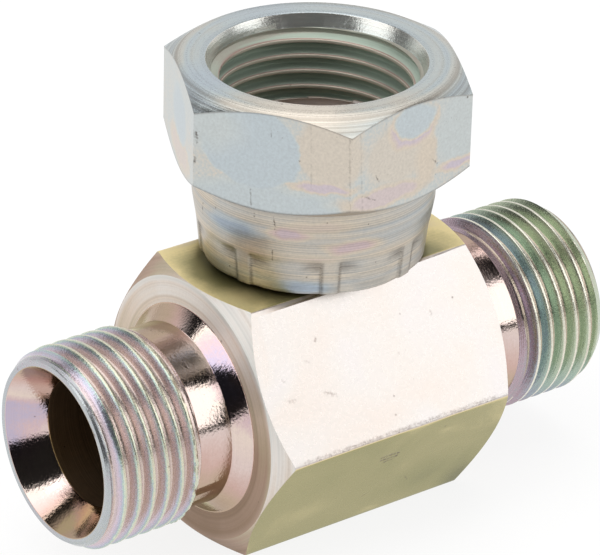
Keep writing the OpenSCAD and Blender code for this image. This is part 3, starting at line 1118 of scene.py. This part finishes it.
print("nut finishes")
nutFlatFinish = {
    **plainFinish,
    "ramp": [
        (0.0, (190, 202, 208)), (0.15, (196, 205, 209)), (0.3, (201, 208, 208)), (0.45, (205, 208, 205)),
        (0.6, (214, 206, 194)), (0.75, (218, 206, 190)), (0.88, (212, 198, 199)), (1.0, (200, 193, 208)),
    ],
    "areas": {
        "lowFront": ((-9.0, -6.3, 31.0), 6.5, 1.5, 0.22, 0.5),
        "peachFront": ((-6.2, -10.1, 36.0), 2.7, 3.0, 0.66, 0.3),
        "lilacFront": ((-6.6, -9.7, 33.0), 2.6, 0.45, 0.92, 0.7),
        "blueFront": ((-9.9, -5.0, 35.3), 4.0, 3.3, 0.12, 0.06),
        "paleFront": ((-11.8, -2.4, 36.8), 2.4, 2.0, 0.32, 0.9),
        "peachRight": ((-0.4, -11.1, 35.0), 3.6, 2.7, 0.60, 0.4),
        "pinkRight": ((-1.7, -11.2, 31.6), 4.2, 0.9, 0.86, 0.6),
        "goldRight": ((2.7, -10.8, 33.4), 1.1, 2.2, 0.74, 0.5),
        "greyRight": ((6.0, -10.5, 35.2), 2.2, 2.9, 0.34, 0.3),
        "lilacRight": ((1.1, -11.0, 36.8), 2.5, 1.75, 0.92, 0.35),
        "blueRight": ((1.2, -11.0, 37.2), 2.1, 1.45, 0.18, 0.25),
        "lilacBand": ((6.2, -10.5, 32.2), 2.0, 0.4, 0.95, 0.9),
        "pinkLeft": ((-10.4, 3.7, 31.9), 3.6, 1.3, 0.80, 0.5),
        "tealLeft": ((-10.3, 3.9, 34.9), 2.6, 2.2, 0.12, 0.4),
    },
    "strokes": {
        "leftEdge": ((-12.65, -1.15, 37.6), (-12.65, -1.15, 31.5), 0.10, 0.5),
        "dentA": ((-12.5, -1.4, 36.0), (-12.5, -1.5, 35.2), 0.2, 0.8),
        "dentB": ((-12.6, -1.3, 33.9), (-12.6, -1.3, 33.5), 0.18, 0.7),
        "pitFront": ((-7.7, -8.1, 35.1), (-7.7, -8.2, 35.0), 0.12, 0.7),
        "scratchFront": ((-9.0, -6.3, 37.3), (-9.0, -6.3, 36.6), 0.08, 0.5),
        "pitRow": ((-9.9, -5.0, 32.0), (-9.9, -5.1, 30.5), 0.10, 0.5),
        "lineFront": ((-7.2, -8.9, 38.0), (-7.1, -9.0, 33.2), 0.12, 0.16),
        "edgeFront": ((-5.4, -11.4, 37.7), (-5.3, -11.6, 31.2), 0.14, 0.25),
        "edgeRight": ((-4.4, -11.5, 37.7), (-4.0, -11.4, 31.0), 0.14, 0.18),
        "nickA": ((-4.1, -11.4, 32.4), (-2.7, -11.3, 31.6), 0.10, 0.6),
        "nickB": ((-2.7, -11.3, 33.7), (-2.3, -11.3, 33.0), 0.10, 0.6),
        "nickC": ((3.3, -10.7, 33.2), (3.8, -10.7, 32.8), 0.12, 0.8),
        "burrA": ((-4.2, -11.5, 38.35), (-2.1, -11.2, 38.5), 0.14, 0.9),
        "burrB": ((3.8, -10.7, 38.3), (4.7, -10.6, 38.2), 0.12, 0.9),
        "notch": ((6.8, -10.4, 37.9), (6.8, -10.4, 37.5), 0.16, 0.9),
    },
    "dirtAndShade": (96, 88, 82),
    "seed": 2.0,
    "clouds": 0.16,
    "grainTint": 0.2,
    "grainDark": 0.17,
    "patchSize": 0.2,
    "roughness": 0.3,
    "grainDepth": 0.35,
    "pitSpacing": 0.5,
    "pitShare": 0.6,
    "ringDark": 0.0,
    "ringRough": 0.0,
    "ringDepth": 0.0,
}
nutTopFinish = {
    **plainFinish,
    "ramp": [
        (0.0, (194, 206, 216)), (0.4, (202, 212, 214)), (0.6, (208, 212, 208)), (0.8, (216, 212, 202)),
        (1.0, (240, 230, 216)),
    ],
    "areas": {
        "peachFront": ((-6.6, -7.4, 38.5), 4.6, 1.8, 0.97, 1.2),
        "peachRight": ((0.4, -10.2, 38.2), 2.0, 1.5, 0.8, 1.2),
        "blueLeft": ((-9.4, 1.5, 38.5), 2.4, 1.5, 0.1, 1.2),
        "lilacBack": ((2.0, 9.6, 38.5), 3.0, 1.5, 0.2, 1.2),
    },
    "grainDark": 0.08,
    "seed": 6.0,
    "clouds": 0.25,
    "bandTint": 0.7,
    "ringDark": 0.16,
    "ringDepth": 0.2,
    "grainDepth": 0.05,
    "fineness": 5.0,
    "roughness": 0.26,
    "pitShare": 0.3,
}
nutChamferFinish = {
    **nutTopFinish,
    "ringDark": 0.45,
    "ringDepth": 0.9,
    "roughness": 0.22,
}
nutMouthFinish = {
    **plainFinish,
    "ramp": [(0.0, (204, 220, 220)), (0.5, (228, 228, 222)), (1.0, (242, 228, 222))],
    "seed": 7.0,
    "clouds": 0.3,
    "bandTint": 0.2,
    "ringDark": 0.2,
    "ringDepth": 0.5,
    "grainDepth": 0.6,
    "fineness": 8.0,
    "roughness": 0.14,
}
collarFinish = {
    **plainFinish,
    "ramp": [
        (0.0, (166, 182, 202)), (0.2, (192, 202, 208)), (0.45, (210, 205, 196)), (0.6, (224, 212, 194)),
        (0.8, (220, 198, 194)), (1.0, (206, 192, 206)),
    ],
    "areas": {
        "blueLeft": ((-9.5, -2.1, 27.4), 2.6, 0.7, 0.08, 0.8),
        "pinkMiddle": ((-7.2, -6.4, 27.9), 1.4, 0.5, 0.9, 0.9),
        "goldMiddle": ((-5.4, -7.9, 28.6), 2.2, 0.5, 0.66, 0.9),
        "pinkFront": ((-2.9, -9.2, 26.7), 2.2, 0.6, 0.86, 0.9),
        "blueLip": ((-5.8, -7.0, 23.0), 2.0, 0.5, 0.1, 0.9),
    },
    "areaWaves": 0.8,
    "strokes": {
        "pitsA": ((-8.0, -5.5, 29.2), (-7.8, -5.6, 27.9), 0.11, 0.7),
        "pitsB": ((-7.9, -5.3, 26.2), (-7.8, -5.2, 25.3), 0.11, 0.5),
        "crack": ((-9.5, 1.7, 27.9), (-9.5, 2.0, 26.3), 0.12, 0.6),
        "speck": ((-9.7, -0.2, 28.5), (-9.7, -0.2, 28.3), 0.12, 0.7),
        "chip": ((0.7, -9.4, 25.6), (0.7, -9.4, 25.2), 0.14, 0.7),
    },
    "dirtAndShade": (74, 64, 54),
    "seed": 11.0,
    "clouds": 0.22,
    "bandTint": 0.25,
    "ringTint": 0.1,
    "ringDark": 0.36,
    "grainDark": 0.1,
    "ringDepth": 0.6,
    "fineness": 9.5,
    "roughness": 0.36,
    "pitSpacing": 1.0,
    "pitShare": 0.25,
}
nutThreadFinish = {
    **plainFinish,
    # the last, near-white stop is a painted highlight for the groove below the thread
    "ramp": [
        (0.0, (168, 186, 172)), (0.4, (186, 198, 184)), (0.6, (168, 130, 122)), (0.75, (222, 216, 200)),
        (0.9, (228, 222, 208)), (1.0, (252, 238, 234)),
    ],
    "clouds": 0.08,
    "roughness": 0.3,
    "fineness": 12.0,
    "ringDark": 0.15,
}
nutMaterials = [
    plated(name, "branch", finish) for name, finish in (
        ("nutFlats", nutFlatFinish), ("nutTop", nutTopFinish), ("nutThread", nutThreadFinish),
        ("nutCollar", collarFinish), ("nutMouth", nutMouthFinish), ("nutChamfer", nutChamferFinish),
    )
]
nutFilms = {
    "plain": 0.45,
    "thread": (0.1, 0.8),          # at its root and at its crest
    "crestDepth": 0.3,             # below the crest where its film begins
    # painted highlight: the groove below the thread takes the near-white end of the ramp
    "groove": 1.0,
    "leadEase": 0.2,
}
nutDullness = {"groove": 1.0, "thread": 0.3, "mouth": 0.16}
# Painted shade along the steps of the jaw prints, and dark burr lines left by the turning of the corners
nutWearAndShade = {
    "jawSide": 0.44,
    "sideWidth": 0.8,              # degrees
    "jawEnd": 0.34,
    "endWidth": 0.45,
    "endBelow": 0.35,              # under the top of a print
    "endFade": (1.3, 9),           # how strong the end is at its ridge, and where it is gone, in degrees
    "cornerBurr": 0.5,
}


def nutFilm(points, normals, slots, facing):
    # the thread by how far a point is from its crest, with the groove below it painted near white as a
    # painted highlight, and the lead cone above it
    films = nutFilms
    radius = np.hypot(points[:, 0], points[:, 1])
    crest = 1 - rise(radius, (nutCrest, films["crestDepth"]))
    foot, lead = nutThreadEnds()
    ease = films["leadEase"]
    film = between(films["thread"], crest)
    film = film + (films["plain"] - film) * rise(points[:, 2], (lead - ease / 2, ease))
    film = np.where(points[:, 2] < foot - 0.05, films["groove"], film)
    return np.where(slots == nutSlot["thread"], film, films["plain"])


def nutThreadEnds():
    # the heights where the nut's thread begins and where its lead cone begins
    lead = nutHigh.z - nutTurning["mouthDepth"] - nutTurning["leadDepth"]
    return lead - nutThreadLength, lead


def nutDull(points, normals, slots, facing):
    # deep inside the nut the plating is powdery
    foot, lead = nutThreadEnds()
    inThread = np.where(points[:, 2] < foot - 0.05, nutDullness["groove"], nutDullness["thread"])
    return np.select(
        [slots == nutSlot["thread"], slots == nutSlot["mouth"]], [inThread, nutDullness["mouth"]], 0,
    )


def nutWornAndShaded(points, normals, slots, facing):
    # painted shade: a dark line down each side of the jaw prints and along their upper end, where the collar
    # steps in
    size, wearAndShade = nutTurning, nutWearAndShade
    step = 360 / size["jawCount"]
    angle = np.degrees(np.arctan2(points[:, 1], points[:, 0])) - size["ridgeStart"]
    outside = np.abs((angle + step / 2) % step - step / 2) - size["ridgeAngle"] / 2
    height = points[:, 2] - nutLow.z
    side = wearAndShade["jawSide"] * np.exp(-(outside / wearAndShade["sideWidth"]) ** 2) * (height < size["jawTop"])
    strong, gone = wearAndShade["endFade"]
    end = np.exp(-((height - size["jawTop"] + wearAndShade["endBelow"]) / wearAndShade["endWidth"]) ** 2) * (outside > 0)
    end = wearAndShade["jawEnd"] * end * np.clip(strong - outside / gone, 0, 1)
    # and the turned corners leave a burr along the edges of the flats
    radius = np.hypot(points[:, 0], points[:, 1])
    upper = size["height"] - (radius - size["faceRadius"]) * math.tan(math.radians(size["faceSlope"]))
    lower = size["height"] - size["hexHeight"]
    lower = lower + (radius - size["underRadius"]) * math.tan(math.radians(size["underSlope"]))
    onEdge = np.minimum(np.abs(height - upper), np.abs(height - lower)) < size["burrBand"] / 4
    onFlat = wearAndShade["cornerBurr"] * onEdge * (slots == nutSlot["flats"])
    return np.where(slots == nutSlot["collar"], np.maximum(side, end), onFlat)


restTurn = math.radians(nutTurning["restTurn"])
ontoBranch = Matrix.Translation((0, 0, nutLow.z)) @ Matrix.Rotation(restTurn, 4, "Z")
nut = finishMesh("swivelNut", buildNut(nutTurning, nutThread), ontoBranch, nutTurning["sharp"], nutMaterials)
# the layer after the film holds the corner burrs and the painted shade along the jaw prints
paintCorners(nut, {"film": nutFilm, "wornAndShaded": nutWornAndShaded, "dull": nutDull})
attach(nut, "nut")
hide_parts("swivel_nut")

print("stub and braze")
stubFinish = {
    **turnedFinish,
    "ramp": [(0.0, (176, 160, 130)), (0.5, (206, 178, 172)), (1.0, (198, 196, 196))],
    "seed": 12.0,
    "clouds": 0.5,
    "bandTint": 0.5,
    "roughness": 0.2,
}
brazeFinish = {
    **plainFinish,
    "ramp": [(0.0, (170, 132, 96)), (0.5, (196, 160, 118)), (1.0, (206, 178, 140))],
    "seed": 15.0,
    "clouds": 0.6,
    "grainDepth": 0.6,
    "roughness": 0.35,
}
for name, finish in (("branch_stub", stubFinish), ("braze_ring", brazeFinish)):
    node = frame["nodes"][name]
    node.data.materials.clear()
    node.data.materials.append(plated(name + "Plate", "branch", finish))

print("studio")
# Metres and degrees; a soft box faces the part from its side and height; its light is what a mirror shows
softBoxes = {
    "right": {"side": -50, "height": 27, "away": 0.7, "wide": 0.43, "tall": 0.545, "light": 1.8},
    "left": {"side": 169, "height": 36, "away": 0.7, "wide": 0.48, "tall": 0.80, "light": 1.75},
    "above": {"side": 53, "height": 82, "away": 0.7, "wide": 0.6, "tall": 0.9, "light": 1.5},
}
room = {
    "backdrop": 0.85,              # what polished metal sees behind the part
    "backdropSide": 48,            # degrees, the middle of the backdrop
    "backdropHalf": 74,            # degrees, how far it reaches to each side
    "backdropTop": 44,             # degrees, how high it reaches
    "sideEase": 0.15,              # radians, half of the soft edge at each side
    "topEase": 0.12,
    "dark": 0.012,                 # the unlit room above it and on the camera's side
    "fill": 0.62,                  # soft light on surfaces that don't mirror
}
table = {
    "half": 3,                     # metres
    "below": 0.02,                 # mm under the part
    "paint": 0.95,
    "glow": 0.85,                  # how much of what the eye sees is plain white; the rest takes the shadow
}


def addSoftBox(name, box):
    lamp = bpy.data.lights.new(name + "SoftBox", "AREA")
    lamp.shape = "RECTANGLE"
    lamp.size = box["wide"]
    lamp.size_y = box["tall"]
    lamp.energy = box["light"] * math.pi * box["wide"] * box["tall"]
    side, height = math.radians(box["side"]), math.radians(box["height"])
    level = math.cos(height)
    towards = Vector((math.cos(side) * level, math.sin(side) * level, math.sin(height)))
    aim = towards.to_track_quat("Z", "Y").to_matrix().to_4x4()
    place = towards * box["away"] + Vector((0, 0, runHeight * mm))
    lampObject = bpy.data.objects.new(name + "SoftBox", lamp)
    lampObject.matrix_world = Matrix.Translation(place) @ aim
    lampObject.visible_camera = False
    bpy.context.scene.collection.objects.link(lampObject)


def buildWorld(room):
    # white to the eye; metal sees the backdrop, the table's edge and the dark room
    world = bpy.data.worlds.new("studio")
    bpy.context.scene.world = world
    world.use_nodes = True
    tree = world.node_tree
    background = tree.nodes["Background"]
    background.inputs["Color"].default_value = (1, 1, 1, 1)
    direction = addNode(tree, "TexCoord").outputs["Generated"]
    parts = addNode(tree, "SeparateXYZ", {0: direction}).outputs
    height = calc(tree, "ARCSINE", parts["Z"])
    side = calc(tree, "ARCTAN2", parts["Y"], parts["X"])
    fromMiddle = calc(tree, "ABSOLUTE", calc(tree, "SUBTRACT", side, math.radians(room["backdropSide"])))
    half, ease = math.radians(room["backdropHalf"]), room["sideEase"]
    inSide = fromTo(tree, fromMiddle, half + ease, half - ease)
    top, ease = math.radians(room["backdropTop"]), room["topEase"]
    inHeight = fromTo(tree, height, top + ease, top - ease)
    seen = fromTo(tree, calc(tree, "MULTIPLY", inSide, inHeight), 0, 1, room["dark"], room["backdrop"])
    below = fromTo(tree, height, math.radians(0.5), 0)
    seen = mix(tree, below, seen, 1.0)
    path = addNode(tree, "LightPath").outputs
    mirrored = calc(tree, "MAXIMUM", path["Is Glossy Ray"], path["Is Transmission Ray"])
    light = mix(tree, mirrored, room["fill"], seen)
    light = mix(tree, path["Is Camera Ray"], light, 1.0)
    tree.links.new(light, background.inputs["Strength"])


def buildFloor(table):
    # a pale table that reads as white and keeps the part's shadow
    bm = bmesh.new()
    bmesh.ops.create_grid(bm, x_segments=1, y_segments=1, size=table["half"])
    bmesh.ops.translate(bm, verts=bm.verts[:], vec=(0, 0, -table["below"] * mm))
    mesh = bpy.data.meshes.new("floor")
    bm.to_mesh(mesh)
    bm.free()
    floor = bpy.data.objects.new("floor", mesh)
    bpy.context.scene.collection.objects.link(floor)
    material = bpy.data.materials.new("paleTable")
    material.use_nodes = True
    tree = material.node_tree
    tree.nodes.remove(tree.nodes["Principled BSDF"])
    paint = addNode(tree, "BsdfDiffuse", {"Color": (table["paint"],) * 3 + (1,)}).outputs[0]
    glow = addNode(tree, "Emission", {"Color": (1, 1, 1, 1), "Strength": 1.0}).outputs[0]
    path = addNode(tree, "LightPath").outputs
    seen = calc(tree, "MAXIMUM", path["Is Camera Ray"], path["Is Glossy Ray"])
    share = calc(tree, "MULTIPLY", seen, table["glow"])
    mixed = addNode(tree, "MixShader", {0: share, 1: paint, 2: glow}).outputs[0]
    tree.links.new(mixed, tree.nodes["Material Output"].inputs["Surface"])
    mesh.materials.append(material)


for name, box in softBoxes.items():
    addSoftBox(name, box)
buildWorld(room)
buildFloor(table)
bpy.context.scene.view_settings.view_transform = "Standard"
